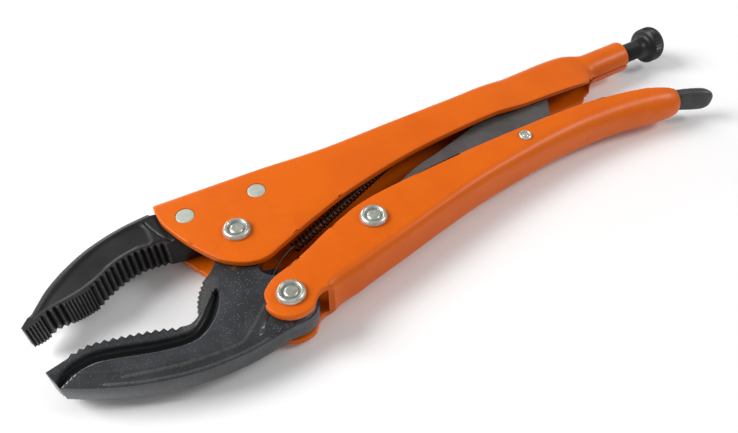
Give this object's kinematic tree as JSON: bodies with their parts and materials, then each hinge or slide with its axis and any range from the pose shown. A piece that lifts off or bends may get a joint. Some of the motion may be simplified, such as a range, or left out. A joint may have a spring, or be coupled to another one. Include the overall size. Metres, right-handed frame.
{
  "type": "locking pliers",
  "caption": "Large-jaw locking pliers: two pressed handles, toothed forged jaws, toggle link, release lever and adjusting screw.",
  "frame": {"origin": "on the jaw pivot's axis, in the plane of the flat middles of the rivet heads that the pliers lie on", "axes": "+X from the jaws to the ends of the handles, +Y towards the back of the fixed handle, +Z along the pivots' axes, away from the surface the pliers lie on"},
  "size_m": [0.311, 0.0833, 0.0221],
  "materials": {
    "orange_coat": "semi-gloss orange powder coat",
    "black_forging": "satin black forging, speckled gloss",
    "zinc_plate": "bright zinc plate",
    "dark_steel": "matt dark grey phosphate",
    "blackened_screw": "satin black oxide",
    "spring_steel": "dark oiled spring wire"
  },
  "bodies": {
    "root": {"fixed_handle": "orange_coat", "fixed_jaw": "black_forging", "front_jaw_rivet": "zinc_plate", "rear_jaw_rivet": "zinc_plate", "return_spring": "spring_steel"},
    "jaw_pivot": {"jaw_pivot_rivet": "zinc_plate"},
    "lower_jaw": {"lower_jaw": "black_forging"},
    "handle_pivot": {"handle_pivot_rivet": "zinc_plate"},
    "lower_handle": {"lower_handle": "orange_coat", "link_rivet": "zinc_plate", "release_lever_rivet": "zinc_plate"},
    "toggle_link": {"toggle_link": "dark_steel"},
    "release_lever": {"release_lever": "dark_steel"},
    "screw_tip": {"screw_tip": "blackened_screw"},
    "adjusting_screw": {"adjusting_screw": "blackened_screw"}
  },
  "joints": [
    {"name": "jaw_swing", "type": "hinge", "parent": "root", "child": "jaw_pivot", "pos_m": [0, 0, 0.01105], "axis": [0, 0, 1], "range_deg": [0, 13.5], "deforming": ["return_spring"]},
    {"name": "jaw_setting", "type": "hinge", "parent": "jaw_pivot", "child": "lower_jaw", "pos_m": [0, 0, 0.01105], "axis": [0, 0, 1], "range_deg": [-14, 12]},
    {"name": "handle_setting", "type": "hinge", "parent": "lower_jaw", "child": "handle_pivot", "pos_m": [0.0064, -0.0355, 0.01105], "axis": [0, 0, 1], "range_deg": [-12, 14]},
    {"name": "handle_squeeze", "type": "hinge", "parent": "handle_pivot", "child": "lower_handle", "pos_m": [0.0064, -0.0355, 0.01105], "axis": [0, 0, 1], "range_deg": [-50, 0]},
    {"name": "link_swing", "type": "hinge", "parent": "lower_handle", "child": "toggle_link", "pos_m": [0.048, -0.0177, 0.01105], "axis": [0, 0, 1], "range_deg": [0, 50.85]},
    {"name": "release_press", "type": "hinge", "parent": "lower_handle", "child": "release_lever", "pos_m": [0.1257, -0.0073, 0.01105], "axis": [0, 0, 1], "range_deg": [0, 6]},
    {"name": "screw_travel", "type": "slide", "parent": "root", "child": "screw_tip", "axis": [0.9986, 0.0523, 0], "range_m": [-0.00864, 0.0074]},
    {"name": "screw_turn", "type": "hinge", "parent": "screw_tip", "child": "adjusting_screw", "pos_m": [0.1565, 0.0235, 0.01105], "axis": [0.9986, 0.0523, 0], "range_deg": [-2073.03, 1776.88]}
  ],
  "couplings": [
    {"joint": "jaw_swing", "follows": "handle_squeeze", "ratio": -0.27},
    {"joint": "link_swing", "follows": "handle_squeeze", "ratio": -1.017},
    {"joint": "handle_setting", "follows": "jaw_setting", "ratio": -1},
    {"joint": "screw_travel", "follows": "jaw_setting", "m_per_rad": 0.03535},
    {"joint": "screw_turn", "follows": "jaw_setting", "ratio": 148.07}
  ]
}
